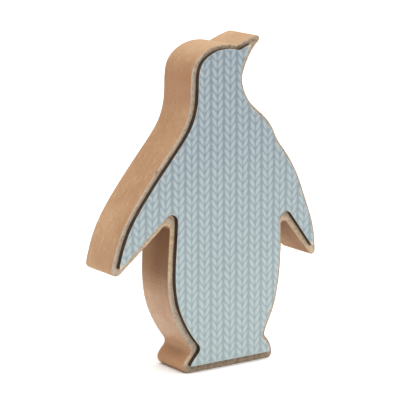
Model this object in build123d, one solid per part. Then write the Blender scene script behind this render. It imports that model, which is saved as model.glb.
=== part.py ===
"""A flat wooden penguin that stands on a shelf: a thick sanded block, with a thin printed board
glued to its front a little inside the block's edge.

The penguin stands on the plane z = 0 with its printed face towards -Y. X = 0 and Y = 0 are the
middle of its width and of its depth.
"""
import os

from build123d import *

# Driving dimensions, millimetres
BLOCK_THICKNESS = 25.0
GLUE_THICKNESS = 0.1
BOARD_THICKNESS = 2.5
PAPER_THICKNESS = 0.2
TOTAL_DEPTH = BLOCK_THICKNESS + GLUE_THICKNESS + BOARD_THICKNESS + PAPER_THICKNESS

# Depths of the faces between the layers, from the back of the block to the printed face
BACK = TOTAL_DEPTH / 2
GLUE_BACK = BACK - BLOCK_THICKNESS
BOARD_BACK = GLUE_BACK - GLUE_THICKNESS
PAPER_BACK = BOARD_BACK - BOARD_THICKNESS
FRONT = -TOTAL_DEPTH / 2

BLOCK_EDGE_RADIUS = 0.8      # sanded front and back edges of the block
BOARD_INSET = 3.1            # even width of the bare rim round the board
BOARD_SLIDE = -0.3           # the board is glued on this far to the right of an even rim
BOARD_RAISE = 1.1            # and this far above it
BOARD_CORNER_RADIUS = 0.6    # the board's outer corners
BOARD_ARMPIT_RADIUS = 1.0    # its armpits, before the inset widens them
CURVE_STEP = 5.0             # spacing of the points that carry a curve across the inset

# Corners of the silhouette before they are rounded, as (x, z)
LEFT_BASE = (-21.6, 0.0)
RIGHT_BASE = (35.4, 0.0)
LEFT_WAIST = (-15.3, 11.9)
RIGHT_WAIST = (30.4, 12.9)
LEFT_ARMPIT = (-28.8, 82.2)
RIGHT_ARMPIT = (41.2, 76.2)
LEFT_WING_TIP = (-65.2, 53.2)
RIGHT_WING_TIP = (64.0, 48.0)
BEAK_TIP = (31.1, 172.6)
BROW = (12.0, 167.3)

# Where the board's own outline, before its inset, has its wing tips and beak tip: a little further out
TIPS = (LEFT_WING_TIP, RIGHT_WING_TIP, BEAK_TIP)
BOARD_TIPS = ((-65.7, 51.4), (64.4, 45.0), (33.3, 173.7))

# Radius that rounds each of those corners on the block
OUTER_RADII = {LEFT_BASE: 4.0, RIGHT_BASE: 3.0, LEFT_WING_TIP: 3.1, RIGHT_WING_TIP: 2.1, BEAK_TIP: 1.7}
WAIST_AND_BROW_RADII = {LEFT_WAIST: 3.0, RIGHT_WAIST: 2.5, BROW: 1.0}
ARMPIT_RADII = {LEFT_ARMPIT: 2.4, RIGHT_ARMPIT: 1.9}


def silhouette_edges(tips=TIPS):
    """The penguin's silhouette, anticlockwise from the left end of its base."""
    left_tip, right_tip, beak_tip = tips
    base = Line(LEFT_BASE, RIGHT_BASE)
    right_foot = Spline(RIGHT_BASE, (35.4, 4.2), (34.3, 7.9), RIGHT_WAIST)
    right_flank = Spline(RIGHT_WAIST, (32.6, 18.3), (36.0, 25.4), (39.2, 36.9), (41.1, 52.8), RIGHT_ARMPIT)
    right_wing_inside = Line(RIGHT_ARMPIT, right_tip)
    right_wing_outside = Spline(
        right_tip, (63.7, 57.7), (62.7, 66.3), (57.7, 81.5), (51.7, 96.4), (43.3, 110.1),
        (38.4, 116.6), (35.0, 123.2), (26.5, 132.5), (20.6, 137.9), (17.0, 144.4), (15.9, 149.7),
        (17.7, 156.6), (21.6, 163.6), beak_tip)
    beak_top = ThreePointArc(beak_tip, (19.5, 170.2), BROW)
    head_and_left_wing = Spline(
        BROW, (2.9, 168.5), (-8.3, 165.2), (-14.1, 159.5), (-15.9, 152.2), (-16.3, 142.2),
        (-18.6, 131.9), (-27.8, 118.4), (-38.2, 106.3), (-48.3, 93.8), (-57.2, 80.4), (-62.9, 65.5),
        left_tip)
    left_wing_inside = ThreePointArc(left_tip, (-46.8, 67.5), LEFT_ARMPIT)
    left_flank = Spline(
        LEFT_ARMPIT, (-29.4, 69.2), (-30.3, 53.2), (-28.8, 37.3), (-24.6, 26.0), LEFT_WAIST)
    left_foot = Spline(LEFT_WAIST, (-19.7, 6.9), (-21.5, 3.4), LEFT_BASE)
    return [
        base, right_foot, right_flank, right_wing_inside, right_wing_outside, beak_top,
        head_and_left_wing, left_wing_inside, left_flank, left_foot]


def round_corners(face, radii):
    """Round the corner of a flat face that is nearest to each given point."""
    for corner, radius in radii.items():
        nearest = face.vertices().sort_by_distance(Vector(*corner))[0]
        face = fillet(nearest, radius)
    return face


def block_silhouette():
    """The block's outline, a flat face in the XY plane."""
    return round_corners(make_face(silhouette_edges()), OUTER_RADII | WAIST_AND_BROW_RADII | ARMPIT_RADII)


def plain_curve(edge):
    """A line or an arc as it is, and any other curve as one spline through points on it."""
    if edge.geom_type in (GeomType.LINE, GeomType.CIRCLE):
        return edge
    spans = max(2, round(edge.length / CURVE_STEP))
    points = [edge.position_at(i / spans) for i in range(spans + 1)]
    return Spline(points, tangents=(edge.tangent_at(0), edge.tangent_at(1)))


def board_silhouette():
    """The board's outline: the silhouette, with longer tips, drawn in and glued on off centre."""
    armpits = {corner: BOARD_ARMPIT_RADIUS for corner in ARMPIT_RADII}
    reaching = round_corners(make_face(silhouette_edges(BOARD_TIPS)), armpits)
    drawn_in = offset(reaching, -BOARD_INSET)
    face = make_face([plain_curve(edge) for edge in drawn_in.face().outer_wire().edges()])
    eased = round_corners(face, {corner: BOARD_CORNER_RADIUS for corner in OUTER_RADII})
    return Pos(BOARD_SLIDE, BOARD_RAISE, 0) * eased


def layer(silhouette, back, front):
    """A flat piece of the given silhouette, standing upright between two depths, front first."""
    upright = Rot(90, 0, 0) * silhouette
    return Pos(0, back, 0) * extrude(upright, back - front, dir=(0, -1, 0))


def backing_block():
    """The thick wooden penguin, with its front and back edges sanded round."""
    block = layer(block_silhouette(), BACK, GLUE_BACK)
    long_edges = block.faces().filter_by(Axis.Y).edges()
    return fillet(long_edges, BLOCK_EDGE_RADIUS)


def write_parts():
    """Write each piece to its own STEP file, with the middle of the block's width at X = 0."""
    block = backing_block()
    board = board_silhouette()
    pieces = {
        "backing_block": block,
        "panel_glue_film": layer(board, GLUE_BACK, BOARD_BACK),
        "front_panel": layer(board, BOARD_BACK, PAPER_BACK),
        "printed_paper": layer(board, PAPER_BACK, FRONT),
    }
    centring = Pos(-block.bounding_box().center().X, 0, 0)
    os.makedirs("parts", exist_ok=True)
    for name, piece in pieces.items():
        export_step(centring * piece, f"parts/{name}.step")


write_parts()
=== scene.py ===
"""Looks for a flat wooden penguin: a sanded fibreboard block with a laser-cut board on its front,
faced in paper printed as stocking-stitch knitting.

Each of the four CAD pieces is rebuilt as a finer mesh on the same outline, so that its edges can be
sanded, burnt, squeezed out or rubbed, and every mesh carries the measures its material needs.
Lengths are in metres. X runs to the right of someone facing the front, which looks along -Y.
"""
import math

import bmesh
import bpy
import numpy as np
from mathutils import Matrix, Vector, noise
from mathutils.geometry import delaunay_2d_cdt


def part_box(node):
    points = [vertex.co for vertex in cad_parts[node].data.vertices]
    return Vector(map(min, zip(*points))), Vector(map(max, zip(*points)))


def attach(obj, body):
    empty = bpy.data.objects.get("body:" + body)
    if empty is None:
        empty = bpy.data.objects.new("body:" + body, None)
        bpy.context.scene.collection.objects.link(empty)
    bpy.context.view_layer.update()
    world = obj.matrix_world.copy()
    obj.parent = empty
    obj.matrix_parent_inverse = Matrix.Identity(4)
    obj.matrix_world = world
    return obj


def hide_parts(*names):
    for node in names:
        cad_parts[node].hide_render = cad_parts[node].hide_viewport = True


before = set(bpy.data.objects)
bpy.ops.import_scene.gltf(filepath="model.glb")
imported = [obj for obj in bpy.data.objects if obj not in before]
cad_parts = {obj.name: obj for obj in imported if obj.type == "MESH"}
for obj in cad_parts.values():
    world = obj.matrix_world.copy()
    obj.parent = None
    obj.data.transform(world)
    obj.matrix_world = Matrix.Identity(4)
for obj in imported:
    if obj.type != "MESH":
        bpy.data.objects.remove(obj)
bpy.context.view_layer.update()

MM = 0.001

# Camera, at the viewing angle
VIEW_AZIMUTH = math.radians(-34.905)     # negative is round to the penguin's -X side
VIEW_ELEVATION = math.radians(12.115)
VIEW_DISTANCE = 1.1068
VIEW_CENTRE = Vector((-0.0029, 0.0, 0.0874))
LENS, SENSOR = 194.17, 36.0              # millimetres

# Light and floor; tilts and spreads are in degrees
WORLD_STRENGTH = 0.07
OVERHEAD_TILT, OVERHEAD_STRENGTH, OVERHEAD_SPREAD = (8, 7), 1.45, 110
FRONT_TILT, FRONT_STRENGTH, FRONT_SPREAD = (65, 10), 0.32, 70
FLOOR_RINGS = (0.4, 1.2, 2.6)            # radii on the flat part, which ends at the last one
FLOOR_BEND = 0.9                         # radius of the curve up
FLOOR_BEND_TURN = 0.95                   # how far the curve turns, in radians
FLOOR_SIDES = 96

# Outlines and edges
OUTLINE_STEP = 0.5 * MM
SHELTER_STRIDE = 4                       # shelter is worked out at every fourth outline point
BLOCK_ROUND = 0.8 * MM                   # sanded edge radius of the CAD block
WALL_WAVE = 0.05 * MM                    # unevenness of the block's sanded walls
EDGE_NIBBLE = 0.07 * MM                  # and of its edges, on top of that
EDGE_REACH = 1.6 * MM                    # how far in from an edge the nibbling goes
NICK = Vector((-37.2, -11.0, 107.4)) * MM   # a small dent in the block's front edge, on the -X shoulder
NICK_DEPTH, NICK_RADIUS = 0.7 * MM, 1.5 * MM
FOOT_TOP = 20.0 * MM                     # sharp corners below this, on the foot, don't count as tips

# Heights where the wood's look changes
BROW_HEIGHT = 166.0 * MM                 # the front's rim is browner above this
SILL_HEIGHT = 3.0 * MM                   # and below this
# the painted neck shade grows between these heights
NECK_START, NECK_FULL = 95 * MM, 135 * MM
# the painted foot shade and bounce light grow between these heights, downwards
FOOT_START, FOOT_FULL = 24 * MM, 6 * MM
SATIN_LOW = (9 * MM, 20 * MM)            # the body is polished from here
SATIN_HIGH = (74 * MM, 58 * MM)          # up to here

# Wood colours, like all the others as shown on a display, out of 255
WOOD_PALE, WOOD_WARM = (181, 145, 110), (163, 122, 87)
WOOD_FIBRE, WOOD_SANDED = (146, 108, 74), (198, 164, 130)
# Painted light: the top colour lightens up-facing walls; the neck colour is painted shade, and the foot
# colour painted shade with warm bounce light.
WOOD_TOP_LIGHT, WOOD_NECK_SHADE, WOOD_FOOT_BOUNCE = (180, 151, 118), (150, 103, 72), (182, 130, 92)
WOOD_GAP_SHADE = (98, 61, 25)                  # painted shade on the walls in the gaps under the wings
# the rim colour beside the gaps is painted light
SKIN_RIM, SKIN_GAP_RIM_LIGHT, SKIN_BROWN_BAND = (160, 144, 126), (178, 155, 126), (130, 112, 86)
SKIN_DARK, SKIN_LIGHT, SKIN_SPECK = (160, 132, 102), (178, 149, 117), (76, 58, 38)
# Edge colours: the pale one is wear with a painted highlight, the dark one painted shade on the +X edges.
EDGE_RUBBED_HIGHLIGHT, EDGE_SHADE, DENT = (168, 154, 138), (96, 78, 60), (84, 64, 46)
CHAR, SCORCH, SINGED = (30, 22, 15), (54, 40, 28), (76, 56, 39)
GLUE_LIGHT, GLUE_DARK = (120, 92, 60), (84, 62, 42)

# Knitting: stitches point down, one V to a column
COLUMN_PITCH = 7.9206 * MM
ROW_PITCH = 4.248 * MM
COLUMN_CENTRE = -1.82 * MM               # x of the middle of one column
LEAF_LEAN = 1.07                         # rows that a leaf climbs across half a column
LEAF_ACROSS, LEAF_UP = 0.447, 0.585      # a leaf's middle, in half columns and rows
LEAF_HALF_WIDTH, LEAF_HALF_HEIGHT = 0.441, 0.465
LEAF_WANDER = 1.2 * MM                   # how far the drawn outlines stray, from end to end
LEAF_POWER = 2.37                        # 2 would make it an ellipse, and more is squarer
PRINT_TOP = 170.0 * MM                   # the print's painted floor light grows from here down to the base
# Print colours at the top and at the base, where they are painted lighter for the light from the floor
LEAF_TOP, LEAF_BASE = (139, 151, 156), (155, 168, 168)
GAP_TOP, GAP_BASE = (104, 115, 123), (131, 142, 143)
PRINT_GRAIN, PAPER_CORE = (205, 211, 210), (182, 166, 144)


# ---------------------------------------------------------------- outlines

def outline_at(node, depth):
    """The closed outline, anticlockwise rows of (x, z), where a node's side wall meets y = depth."""
    mesh = bmesh.new()
    mesh.from_mesh(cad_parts[node].data)
    bmesh.ops.remove_doubles(mesh, verts=mesh.verts, dist=1e-6)
    neighbours = {}
    for edge in mesh.edges:
        around = {vertex for face in edge.link_faces for vertex in face.verts}
        if on_plane(edge.verts, depth) and not on_plane(around, depth):
            first, second = edge.verts
            neighbours.setdefault(first, []).append(second)
            neighbours.setdefault(second, []).append(first)
    start = here = next(iter(neighbours))
    before, loop = None, []
    while here is not start or not loop:
        loop.append((here.co.x, here.co.z))
        after = [vertex for vertex in neighbours[here] if vertex is not before]
        before, here = here, after[0]
    mesh.free()
    points = np.array(loop)
    area = np.sum(points[:, 0] * np.roll(points[:, 1], -1) - np.roll(points[:, 0], -1) * points[:, 1])
    return points if area > 0 else points[::-1]


def on_plane(vertices, depth):
    """Whether all the vertices lie at y = depth."""
    return all(abs(vertex.co.y - depth) < 2e-5 for vertex in vertices)


def cut_straights(points, longest=6.5 * MM, piece=1.0 * MM):
    """The outline with points added along its straight stretches, whose ends are far apart."""
    out = []
    for here, after in zip(points, np.roll(points, -1, axis=0)):
        length = np.linalg.norm(after - here)
        count = round(length / piece) if length > longest else 1
        out += [here + (after - here) * i / count for i in range(count)]
    return np.array(out)


def smooth_outline(points, step=OUTLINE_STEP):
    """The outline as evenly spaced points on a smooth curve through the given ones."""
    points = cut_straights(points)
    chord = np.linalg.norm(np.roll(points, -1, axis=0) - points, axis=1)[:, None]
    slope = (np.roll(points, -1, axis=0) - points) / chord
    before = np.roll(chord, 1, axis=0)
    tangent = (np.roll(slope, 1, axis=0) * chord + slope * before) / (chord + before)
    after, after_tangent = np.roll(points, -1, axis=0), np.roll(tangent, -1, axis=0)
    t = np.linspace(0, 1, 16, endpoint=False)[None, :, None]
    a, b, c, h = points[:, None], after[:, None], tangent[:, None], chord[:, None]
    curve = (a * (2 * t**3 - 3 * t**2 + 1) + b * (3 * t**2 - 2 * t**3)
             + h * c * (t**3 - 2 * t**2 + t) + h * after_tangent[:, None] * (t**3 - t**2))
    return even_points(curve.reshape(-1, 2), step)


def even_points(points, step):
    """The closed line through the points, as points about step apart."""
    closed = np.vstack([points, points[:1]])
    run = np.r_[0, np.cumsum(np.linalg.norm(np.diff(closed, axis=0), axis=1))]
    places = np.linspace(0, run[-1], round(run[-1] / step), endpoint=False)
    return np.stack([np.interp(places, run, closed[:, axis]) for axis in (0, 1)], axis=1)


def outward(points):
    """The outward unit normal at each point of an anticlockwise outline."""
    along = np.roll(points, -1, axis=0) - np.roll(points, 1, axis=0)
    normal = np.stack([along[:, 1], -along[:, 0]], axis=1)
    return normal / np.linalg.norm(normal, axis=1)[:, None]


def sharp_tips(points, reach=3.0 * MM, least_turn=math.radians(70)):
    """The outline's sharp outward corners above the foot: the two wing tips and the beak's."""
    span = round(reach / OUTLINE_STEP)
    back = points - np.roll(points, span, axis=0)
    on = np.roll(points, -span, axis=0) - points
    turn = np.arctan2(back[:, 0] * on[:, 1] - back[:, 1] * on[:, 0], np.sum(back * on, axis=1))
    tips = []
    for i in np.argsort(-turn):
        clear = all(np.linalg.norm(points[i] - tip) > 4 * reach for tip in tips)
        if turn[i] > least_turn and clear and points[i][1] > FOOT_TOP:
            tips.append(points[i])
    return np.array(tips)


def nearest(points, targets):
    """The distance from each point to the nearest target."""
    return np.array([np.min(np.linalg.norm(targets - point, axis=1)) for point in points])


def shelter(points, rays=60, reach=70 * MM):
    """How much of each wall point's outlook, within the outline's plane, the penguin itself blocks."""
    normal = outward(points)
    start, step = points, np.roll(points, -1, axis=0) - points
    blocked = np.zeros(len(points))
    for turn in (np.arange(rays) + 0.5) / rays * math.pi - math.pi / 2:
        cos, sin = math.cos(turn), math.sin(turn)
        for i, (point, out) in enumerate(zip(points, normal)):
            ray = np.array((out[0] * cos - out[1] * sin, out[0] * sin + out[1] * cos))
            gap = start - point - out * 0.2 * MM
            cross = ray[0] * step[:, 1] - ray[1] * step[:, 0]
            cross = np.where(abs(cross) < 1e-15, 1e-15, cross)
            far = (gap[:, 0] * step[:, 1] - gap[:, 1] * step[:, 0]) / cross
            part = (gap[:, 0] * ray[1] - gap[:, 1] * ray[0]) / cross
            hit = np.any((far > 0) & (far < reach) & (part >= 0) & (part < 1))
            blocked[i] += cos * hit
    return blocked / rays * math.pi / 2


def wander(x, y, z, size, seed):
    """Smooth noise from -1 to 1, with bumps of about the given size in metres."""
    return noise.noise(Vector((x / size + seed, y / size, z / size)))


# ---------------------------------------------------------------- meshes

def plate(name, outline, profile, carve, spacing):
    """A closed plate on an outline, from its back face to its front face.

    profile lists (inset, depth) for each ring of the side wall, back to front. carve(x, y, z) gives
    how much deeper a wall point is drawn in. The flat faces get points about spacing apart.
    """
    normal = outward(outline)
    tips = sharp_tips(outline)
    covered = shelter(outline[::SHELTER_STRIDE])
    vertices, edge_distance, sheltered = [], [], []
    for inset, depth in profile:
        for i, (point, out) in enumerate(zip(outline, normal)):
            place = point - out * (inset + carve(point[0], depth, point[1]))
            vertices.append((place[0], depth, place[1]))
            edge_distance.append(inset)
            sheltered.append(covered[i // SHELTER_STRIDE])
    count = len(outline)
    faces = []
    for ring in range(len(profile) - 1):
        low, high = ring * count, (ring + 1) * count
        for i in range(count):
            j = (i + 1) % count
            faces.append((low + i, high + i, high + j, low + j))
    for ring, flip in ((0, True), (len(profile) - 1, False)):
        fill_face(vertices, faces, edge_distance, ring * count, count, outline, spacing, flip)
    mesh = bpy.data.meshes.new(name)
    mesh.from_pydata(vertices, [], faces)
    flat = np.array(vertices)[:, [0, 2]]
    add_measure(mesh, "edge_distance", edge_distance)
    add_measure(mesh, "sheltered", sheltered + [0.0] * (len(vertices) - len(sheltered)))
    add_measure(mesh, "tip_distance", nearest(flat, tips))
    mesh.shade_smooth()
    mesh.set_sharp_from_angle(angle=math.radians(40))
    return add_object(name, mesh)


def fill_face(vertices, faces, edge_distance, first, count, outline, spacing, flip):
    """Fill the flat face inside one ring of vertices with evenly spread triangles."""
    ring = np.array(vertices[first:first + count])
    depth = ring[0, 1]
    low, high = ring.min(axis=0), ring.max(axis=0)
    rows = np.arange(low[2], high[2], spacing * math.sqrt(0.75))
    columns = np.arange(low[0], high[0], spacing)
    grid = np.array([(x + (r % 2) * spacing / 2, z) for r, z in enumerate(rows) for x in columns])
    corners = ring[:, [0, 2]]
    grid = grid[inside(grid, corners)]
    grid = grid[nearest(grid, corners) > spacing * 0.6]
    points = [Vector(p) for p in np.vstack([corners, grid])]
    loop = list(range(count))
    made, _, triangles, sources, _, _ = delaunay_2d_cdt(points, [], [loop], 1, 1e-9)
    number = {}
    distance = nearest(np.array([tuple(p) for p in made]), outline)
    for i, place in enumerate(made):
        old = [s for s in sources[i] if s < count]
        if old:
            number[i] = first + old[0]
        else:
            number[i] = len(vertices)
            vertices.append((place.x, depth, place.y))
            edge_distance.append(distance[i])
    for triangle in triangles:
        corner = [number[i] for i in triangle]
        faces.append(tuple(reversed(corner)) if flip else tuple(corner))


def inside(points, loop):
    """Which points lie inside a closed loop."""
    x, z = points[:, :1], points[:, 1:]
    ax, az = loop[:, 0], loop[:, 1]
    bx, bz = np.roll(ax, -1), np.roll(az, -1)
    crosses = (az > z) != (bz > z)
    where = (bx - ax) * (z - az) / np.where(bz == az, 1, bz - az) + ax
    return np.sum(crosses & (x < where), axis=1) % 2 == 1


def add_measure(mesh, name, values):
    """Store one number for each vertex, for the materials to read."""
    mesh.attributes.new(name, "FLOAT", "POINT").data.foreach_set("value", np.array(values, np.float32))


def add_object(name, data):
    """A new object in the scene, holding a mesh, a light or a camera."""
    made = bpy.data.objects.new(name, data)
    bpy.context.scene.collection.objects.link(made)
    return made


def rounded(back, front, radius, steps=4):
    """The profiles of a wall's back edge and front edge, both rounded to a radius."""
    turns = [math.pi / 2 * i / steps for i in range(steps + 1)]
    first = [(radius * (1 - math.sin(t)), back - radius * (1 - math.cos(t))) for t in turns]
    last = [(radius * (1 - math.cos(t)), front + radius * (1 - math.sin(t))) for t in turns]
    return first, last


# ---------------------------------------------------------------- materials

class Graph:
    """One material's node tree. Most methods add nodes and give back an output socket."""

    def __init__(self, name):
        self.material = bpy.data.materials.new(name)
        self.material.use_nodes = True
        self.tree = self.material.node_tree
        self.shader = self.tree.nodes["Principled BSDF"]
        self.place = self.add("ShaderNodeTexCoord").outputs["Object"]
        self.x, self.y, self.z = self.split(self.place)

    def add(self, kind, settings=None, **inputs):
        node = self.tree.nodes.new(kind)
        for key, value in (settings or {}).items():
            setattr(node, key, value)
        for key, value in inputs.items():
            self.put(node.inputs[key.replace("_", " ")], value)
        return node

    def put(self, socket, value):
        """Link a socket to another one's value, or set it."""
        if isinstance(value, bpy.types.NodeSocket):
            self.tree.links.new(value, socket)
        else:
            socket.default_value = value

    def split(self, vector):
        """A vector's x, y and z."""
        return self.add("ShaderNodeSeparateXYZ", Vector=vector).outputs

    def facing(self):
        """The x, y and z of the direction that the surface faces."""
        return self.split(self.add("ShaderNodeNewGeometry").outputs["Normal"])

    def math(self, operation, a, b=0.0, c=0.0):
        node = self.add("ShaderNodeMath", {"operation": operation})
        for socket, value in zip(node.inputs, (a, b, c)):
            self.put(socket, value)
        return node.outputs[0]

    def times(self, a, b):
        return self.math("MULTIPLY", a, b)

    def smooth(self, value, low, high):
        """0 below low, 1 above high, and smooth between; reversed if low is above high."""
        node = self.add("ShaderNodeMapRange", {"interpolation_type": "SMOOTHSTEP"}, Value=value)
        for key, bound in (("From Min", low), ("From Max", high)):
            self.put(node.inputs[key], bound)
        return node.outputs[0]

    def stretch(self, x, y, z):
        """The place, with each direction multiplied: below 1 draws a noise out along it."""
        node = self.add("ShaderNodeVectorMath", {"operation": "MULTIPLY"})
        self.put(node.inputs[0], self.place)
        self.put(node.inputs[1], (x, y, z))
        return node.outputs[0]

    def distance_to(self, point):
        node = self.add("ShaderNodeVectorMath", {"operation": "DISTANCE"})
        self.put(node.inputs[0], self.place)
        self.put(node.inputs[1], point)
        return node.outputs["Value"]

    def noise(self, size, detail=3.0, roughness=0.5, vector=None):
        """Noise from 0 to 1 with bumps of about the given size in metres."""
        node = self.add("ShaderNodeTexNoise", Vector=vector or self.place, Scale=0.6 / size,
                        Detail=detail, Roughness=roughness)
        return node.outputs["Fac"]

    def measure(self, name):
        return self.add("ShaderNodeAttribute", {"attribute_name": name}).outputs["Fac"]

    def mix(self, amount, a, b):
        node = self.add("ShaderNodeMix", {"data_type": "RGBA"})
        self.put(node.inputs[0], amount)
        self.put(node.inputs[6], rgba(a))
        self.put(node.inputs[7], rgba(b))
        return node.outputs[2]

    def stain(self, colour, where, share, tint):
        """The colour, drawn a share of the way to a tint where the amount is 1."""
        return self.mix(self.times(where, share), colour, tint)

    def bump(self, height, distance, strength):
        node = self.add("ShaderNodeBump", Strength=strength, Distance=distance, Height=height)
        return node.outputs["Normal"]

    def finish(self, colour, roughness, normal=None):
        """The material, with its shader filled in."""
        self.put(self.shader.inputs["Base Color"], colour)
        self.put(self.shader.inputs["Roughness"], roughness)
        if normal is not None:
            self.put(self.shader.inputs["Normal"], normal)
        return self.material


def rgba(colour):
    """A display colour out of 255 as the linear colour that Blender mixes; sockets pass through."""
    if isinstance(colour, bpy.types.NodeSocket):
        return colour
    linear = [(v / 255 / 12.92 if v < 10 else ((v / 255 + 0.055) / 1.055) ** 2.4) for v in colour]
    return (*linear, 1.0)


def sanded_wood(g, facing, fibre, sanding):
    """Colour of the sanded walls: warm blotches and fine fibres, with painted light on the tops, and
    redder painted shade on the neck and the foot, with warm bounce light on the foot.
    """
    blotch = g.noise(16 * MM, detail=2.0)
    colour = g.mix(g.smooth(blotch, 0.30, 0.70), WOOD_PALE, WOOD_WARM)
    colour = g.stain(colour, g.smooth(fibre, 0.42, 0.75), 0.45, WOOD_FIBRE)
    colour = g.stain(colour, g.smooth(sanding, 0.50, 0.75), 0.35, WOOD_SANDED)
    # painted light on up-facing walls
    colour = g.stain(colour, g.smooth(facing[2], 0.5, 0.95), 0.35, WOOD_TOP_LIGHT)
    # painted shade on the neck, on walls that don't face up
    neck_shade = g.times(g.smooth(g.z, NECK_START, NECK_FULL), g.smooth(facing[2], 0.30, 0.05))
    colour = g.stain(colour, neck_shade, 0.40, WOOD_NECK_SHADE)
    # painted shade with warm bounce light on the foot
    return g.stain(colour, g.smooth(g.z, FOOT_START, FOOT_FULL), 0.45, WOOD_FOOT_BOUNCE)


def gap_walls(g, facing):
    """1 on the walls in the gaps under the wings, where shade is painted, but less facing down and lower
    down, and 0 elsewhere.
    """
    walls = g.times(g.smooth(g.measure("sheltered"), 0.06, 0.55), g.smooth(facing[2], -0.88, 0.0))
    return g.times(walls, g.smooth(g.z, -10 * MM, 45 * MM))


def sheet_skin(g, facing):
    """Colour of the flat faces: the sheet's own skin, which is cloudy and lightly speckled.

    The front's rim is greyer with more specks, browner at the brow and along the base, and painted
    lighter beside the gaps, where light falls on it.
    """
    front = g.smooth(facing[1], 0.2, -0.2)
    rim = g.times(g.smooth(g.measure("edge_distance"), 7 * MM, 3 * MM), front)
    # painted light: the rim beside the gaps is drawn lighter and warmer
    gap_rim_light = g.smooth(g.measure("sheltered"), 0.15, 0.45)
    cloud = g.smooth(g.noise(9 * MM, detail=7.0, roughness=0.65), 0.30, 0.70)
    skin = g.mix(rim, g.mix(cloud, SKIN_DARK, SKIN_LIGHT), g.mix(gap_rim_light, SKIN_RIM, SKIN_GAP_RIM_LIGHT))
    sill = g.smooth(g.z, SILL_HEIGHT + 2 * MM, SILL_HEIGHT)
    brow = g.smooth(g.z, BROW_HEIGHT - 3 * MM, BROW_HEIGHT)
    # the rim is drawn browner at the brow and along the base
    brown_band = g.times(g.math("MAXIMUM", sill, brow), rim)
    skin = g.stain(skin, brown_band, 0.7, SKIN_BROWN_BAND)
    fleck = g.smooth(g.noise(0.9 * MM, detail=4.0, roughness=0.7), 0.46, 0.66)
    specks = g.math("ADD", g.math("MULTIPLY_ADD", brown_band, 0.35, 0.20), g.times(rim, 0.25))
    return g.stain(skin, fleck, specks, SKIN_SPECK)


def used_edges(g, colour, facing, face):
    """The colour with its rounded edges rubbed pale in places, with a painted highlight, and painted shade on
    the +X side.
    """
    rounded_edge = g.times(g.smooth(face, 0.10, 0.40), g.smooth(face, 0.97, 0.75))
    # rubbed pale, with a painted highlight, along the rounded edges
    rubbed_and_highlit = g.times(rounded_edge, g.smooth(g.noise(4 * MM), 0.35, 0.60))
    colour = g.stain(colour, rubbed_and_highlit, 0.5, EDGE_RUBBED_HIGHLIGHT)
    # painted shade on the edges that face +X
    right_edge_shade = g.times(g.smooth(face, 0.10, 0.40), g.smooth(facing[0], 0.02, 0.35))
    right_edge_shade = g.times(right_edge_shade, g.smooth(g.noise(5 * MM), 0.25, 0.60))
    return g.stain(colour, right_edge_shade, 0.75, EDGE_SHADE)


def satin_flanks(g):
    """1 on the lower body, which handling has polished, and 0 on the foot, the wings and above."""
    between = g.times(g.smooth(g.z, *SATIN_LOW), g.smooth(g.z, *SATIN_HIGH))
    return g.times(between, g.smooth(g.math("ABSOLUTE", g.x), 50 * MM, 40 * MM))


def fibreboard():
    """Bare sanded fibreboard, with painted shade in the gaps under the wings, deeper towards the front.

    Its flat faces keep the speckled skin of the sheet that it was cut from.
    """
    g = Graph("sanded_fibreboard")
    facing = g.facing()
    face = g.math("ABSOLUTE", facing[1])
    fibre = g.noise(0.8 * MM, detail=4.0, roughness=0.6)
    sanding = g.noise(1.4 * MM, detail=3.0, vector=g.stretch(1.0, 1.0, 0.10))
    walls = gap_walls(g, facing)
    # painted shadow of the wings: the gap shade deepens towards the front
    shade_toward_front = g.math("MULTIPLY_ADD", g.smooth(g.y, 12 * MM, -2 * MM), 0.35, 0.55)
    colour = sanded_wood(g, facing, fibre, sanding)
    # painted shade in the gaps under the wings
    colour = g.stain(colour, g.times(walls, shade_toward_front), 0.92, WOOD_GAP_SHADE)
    colour = g.mix(g.smooth(face, 0.10, 0.55), colour, sheet_skin(g, facing))
    colour = used_edges(g, colour, facing, face)
    ragged = g.math("ADD", g.distance_to(NICK), g.times(fibre, 1.5 * MM))
    colour = g.stain(colour, g.smooth(ragged, 2.4 * MM, 1.2 * MM), 0.7, DENT)
    matt = g.math("MAXIMUM", walls, g.math("SUBTRACT", 1.0, satin_flanks(g)))
    roughness = g.math("ADD", g.math("MULTIPLY_ADD", fibre, 0.20, 0.32), g.times(matt, 0.40))
    height = g.math("ADD", fibre, g.times(sanding, 0.6))
    return g.finish(colour, roughness, g.bump(height, 0.06 * MM, 0.5))


def burnt_edge():
    """Laser-burnt board: a near-black edge with browner streaks and patches."""
    g = Graph("laser_burnt_board")
    streak = g.noise(0.5 * MM, detail=3.0, vector=g.stretch(1.0, 0.15, 1.0))
    patch = g.noise(7 * MM, detail=2.0)
    colour = g.mix(g.smooth(streak, 0.35, 0.7), CHAR, SCORCH)
    colour = g.stain(colour, g.smooth(patch, 0.5, 0.7), 0.4, SINGED)
    return g.finish(colour, g.math("MULTIPLY_ADD", streak, 0.2, 0.75), g.bump(streak, 0.08 * MM, 0.7))


def dried_glue():
    """Dried wood glue: cloudy amber, a little glossy in places."""
    g = Graph("dried_glue")
    cloud = g.noise(2.0 * MM, detail=3.0)
    colour = g.mix(g.smooth(cloud, 0.35, 0.65), GLUE_LIGHT, GLUE_DARK)
    return g.finish(colour, g.math("MULTIPLY_ADD", cloud, 0.3, 0.3), g.bump(cloud, 0.1 * MM, 0.5))


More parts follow.
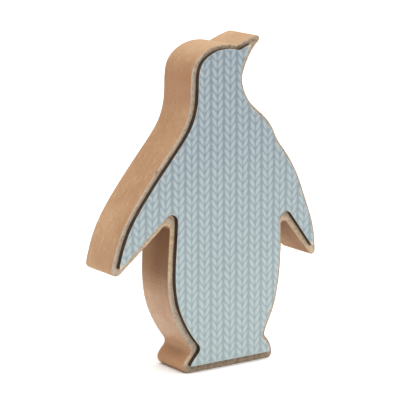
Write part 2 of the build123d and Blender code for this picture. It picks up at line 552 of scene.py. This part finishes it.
def stitches(g):
    """How light the printed knitting is, from 0 between the leaves to about 1 in a leaf's middle.

    Each column is a stack of Vs, whose two leaves lean out from the column's middle. A leaf is a
    rounded lozenge in coordinates that lean with it: across the half column, and up the stack.
    """
    x = g.math("MULTIPLY_ADD", g.noise(3 * MM, detail=2.0), LEAF_WANDER, g.x)
    z = g.math("MULTIPLY_ADD", g.noise(4 * MM, detail=2.0), LEAF_WANDER, g.z)
    column = g.math("DIVIDE", g.math("SUBTRACT", x, COLUMN_CENTRE + LEAF_WANDER / 2), COLUMN_PITCH)
    across = g.math("SUBTRACT", g.times(g.math("PINGPONG", column, 0.5), 2.0), LEAF_ACROSS)
    row = g.math("DIVIDE", g.math("SUBTRACT", z, LEAF_WANDER / 2), ROW_PITCH)
    level = g.math("SUBTRACT", row, g.math("MULTIPLY_ADD", across, LEAF_LEAN, LEAF_UP))
    stack = g.math("WRAP", level, 0.5, -0.5)
    wide = g.math("POWER", g.math("DIVIDE", g.math("ABSOLUTE", stack), LEAF_HALF_HEIGHT), LEAF_POWER)
    long = g.math("POWER", g.math("DIVIDE", g.math("ABSOLUTE", across), LEAF_HALF_WIDTH), LEAF_POWER)
    return g.smooth(g.math("ADD", wide, long), 1.50, -0.10)


def rubbed_edge(g):
    """1 where the print is rubbed off along the paper's ragged edge, further in at the tips."""
    ragged = g.times(g.math("SUBTRACT", g.noise(1.6 * MM, detail=4.0), 0.5), 0.9 * MM)
    edge = g.math("ADD", g.measure("edge_distance"), ragged)
    tip = g.smooth(g.measure("tip_distance"), 4.0 * MM, 0.5 * MM)
    reach = g.math("MULTIPLY_ADD", tip, 0.7 * MM, 0.08 * MM)
    return g.smooth(g.math("SUBTRACT", edge, reach), 0.15 * MM, -0.15 * MM)


def knit_print():
    """Matt paper printed as pale blue-grey knitting, rubbed to its cream core at edges and tips."""
    g = Graph("knit_print_paper")
    # painted light from the floor: the print is drawn lighter towards the base, in random blotches
    floor_light_and_blotches = g.math("ADD", g.smooth(g.z, PRINT_TOP, 0.0), g.times(g.noise(25 * MM), 0.4))
    floor_light_and_blotches = g.math("SUBTRACT", floor_light_and_blotches, 0.2)
    grain = g.noise(0.5 * MM, detail=3.0, roughness=0.7)
    colour = g.mix(stitches(g), g.mix(floor_light_and_blotches, GAP_TOP, GAP_BASE), g.mix(floor_light_and_blotches, LEAF_TOP, LEAF_BASE))
    colour = g.stain(colour, g.smooth(grain, 0.55, 0.75), 0.25, PRINT_GRAIN)
    colour = g.stain(colour, rubbed_edge(g), 0.85, PAPER_CORE)
    return g.finish(colour, g.math("MULTIPLY_ADD", grain, 0.15, 0.62), g.bump(grain, 0.03 * MM, 0.5))


# ---------------------------------------------------------------- pieces

def block():
    """The sanded block: its walls wave a little, and its rounded edges are nibbled."""
    low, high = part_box("backing_block")
    outline = smooth_outline(outline_at("backing_block", low.y + BLOCK_ROUND))
    back, front = rounded(high.y, low.y, BLOCK_ROUND)
    walls = [(0.0, y) for y in np.linspace(high.y - BLOCK_ROUND, low.y + BLOCK_ROUND, 20)[1:-1]]

    def carve(x, y, z):
        wave = WALL_WAVE * (1 + wander(x, y, z, size=12 * MM, seed=3.0))
        near_edge = max(0.0, 1 - min(high.y - y, y - low.y) / EDGE_REACH)
        nibble = EDGE_NIBBLE * (1 + wander(x, y, z, size=2.2 * MM, seed=9.0)) * near_edge
        nick = NICK_DEPTH * max(0.0, 1 - (Vector((x, y, z)) - NICK).length / NICK_RADIUS)
        off_floor = min(1.0, z / (2 * MM))
        return off_floor * (wave + nibble) + nick

    return plate("sanded_block", outline, back + walls + front, carve, spacing=2.5 * MM)


def board():
    """The laser-cut board: a straight wall with the cut's fine ridges across it."""
    low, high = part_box("front_panel")
    outline = smooth_outline(outline_at("front_panel", low.y))
    profile = [(0.0, y) for y in np.linspace(high.y, low.y, 7)]

    def carve(x, y, z):
        return 0.04 * MM * (1 + wander(x, 0.1 * y, z, size=0.9 * MM, seed=5.0))

    return plate("laser_cut_board", outline, profile, carve, spacing=4.0 * MM)


def glue():
    """The glue film, squeezed out a little unevenly along the board's edge."""
    low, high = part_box("panel_glue_film")
    outline = smooth_outline(outline_at("panel_glue_film", low.y))
    depths = np.linspace(high.y, low.y, 4)
    profile = list(zip((-0.25 * MM, -0.30 * MM, -0.12 * MM, 0.0), depths))

    def carve(x, y, z):
        return 0.25 * MM * wander(x, 0.0, z, size=5 * MM, seed=7.0)

    return plate("glue_line", outline, profile, carve, spacing=6.0 * MM)


def paper():
    """The printed paper, its front edge rubbed down to a small slope."""
    low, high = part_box("printed_paper")
    outline = smooth_outline(outline_at("printed_paper", low.y))
    thickness = high.y - low.y
    slope = ((0.02 * MM, 0.6), (0.12 * MM, 0.25), (0.30 * MM, 0.06), (0.55 * MM, 0.0))
    profile = [(0.0, high.y)] + [(inset, low.y + part * thickness) for inset, part in slope]

    def carve(x, y, z):
        return 0.03 * MM * (1 + wander(x, 0.0, z, size=1.5 * MM, seed=11.0))

    return plate("knit_print_sheet", outline, profile, carve, spacing=2.5 * MM)


def add_pieces():
    """Make the four pieces, each standing for its CAD node."""
    kinds = (
        (block, "backing_block", "block_wood", fibreboard),
        (board, "front_panel", "board_wood", burnt_edge),
        (glue, "panel_glue_film", "glue", dried_glue),
        (paper, "printed_paper", "print", knit_print),
    )
    for make, node, slot, finish in kinds:
        piece = make()
        piece.data.materials.append(finish())
        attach(piece, "root")
        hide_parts(node)


# ---------------------------------------------------------------- studio

def add_floor():
    """A plain white floor, flat under the penguin and curving up far away all round it."""
    turns = np.linspace(0.1, FLOOR_BEND_TURN, 9)
    profile = [(radius, 0.0) for radius in FLOOR_RINGS]
    profile += [(FLOOR_RINGS[-1] + FLOOR_BEND * math.sin(t), FLOOR_BEND * (1 - math.cos(t))) for t in turns]
    vertices, faces = [(0.0, 0.0, 0.0)], []
    for radius, height in profile:
        for turn in np.arange(FLOOR_SIDES) * 2 * math.pi / FLOOR_SIDES:
            vertices.append((radius * math.cos(turn), radius * math.sin(turn), height))
    for i in range(FLOOR_SIDES):
        j = (i + 1) % FLOOR_SIDES
        faces.append((0, 1 + i, 1 + j))
        for ring in range(len(profile) - 1):
            low = 1 + ring * FLOOR_SIDES
            high = low + FLOOR_SIDES
            faces.append((low + i, high + i, high + j, low + j))
    mesh = bpy.data.meshes.new("floor")
    mesh.from_pydata(vertices, [], faces)
    mesh.shade_smooth()
    floor = add_object("floor", mesh)
    g = Graph("white_floor")
    g.shader.inputs["Specular IOR Level"].default_value = 0.0
    floor.data.materials.append(g.finish(rgba((254, 254, 254)), 1.0))


def add_sun(name, tilt, strength, spread):
    """A very soft light from above, tilted about X and Y. Strength 1 lights level white to white."""
    data = bpy.data.lights.new(name, "SUN")
    data.energy, data.angle = strength * math.pi, math.radians(spread)
    add_object(name, data).rotation_euler = [math.radians(angle) for angle in (*tilt, 0.0)]


def add_world(strength):
    """Even white light from all round."""
    world = bpy.data.worlds.new("studio")
    world.use_nodes = True
    background = world.node_tree.nodes["Background"]
    background.inputs["Color"].default_value = (1.0, 1.0, 1.0, 1.0)
    background.inputs["Strength"].default_value = strength
    bpy.context.scene.world = world


def add_camera():
    """The camera, looking at the penguin from its front and its -X side, a little above."""
    flat = math.cos(VIEW_ELEVATION)
    ahead = Vector((-math.sin(VIEW_AZIMUTH) * flat, math.cos(VIEW_AZIMUTH) * flat, -math.sin(VIEW_ELEVATION)))
    data = bpy.data.cameras.new("camera")
    data.lens, data.sensor_width = LENS, SENSOR
    camera = add_object("camera", data)
    camera.location = VIEW_CENTRE - ahead * VIEW_DISTANCE
    camera.rotation_euler = ahead.to_track_quat("-Z", "Y").to_euler()
    bpy.context.scene.camera = camera


add_pieces()
add_floor()
add_world(WORLD_STRENGTH)
add_sun("overhead_softbox", OVERHEAD_TILT, OVERHEAD_STRENGTH, OVERHEAD_SPREAD)
add_sun("front_softbox", FRONT_TILT, FRONT_STRENGTH, FRONT_SPREAD)
add_camera()
bpy.context.scene.view_settings.view_transform = "Standard"
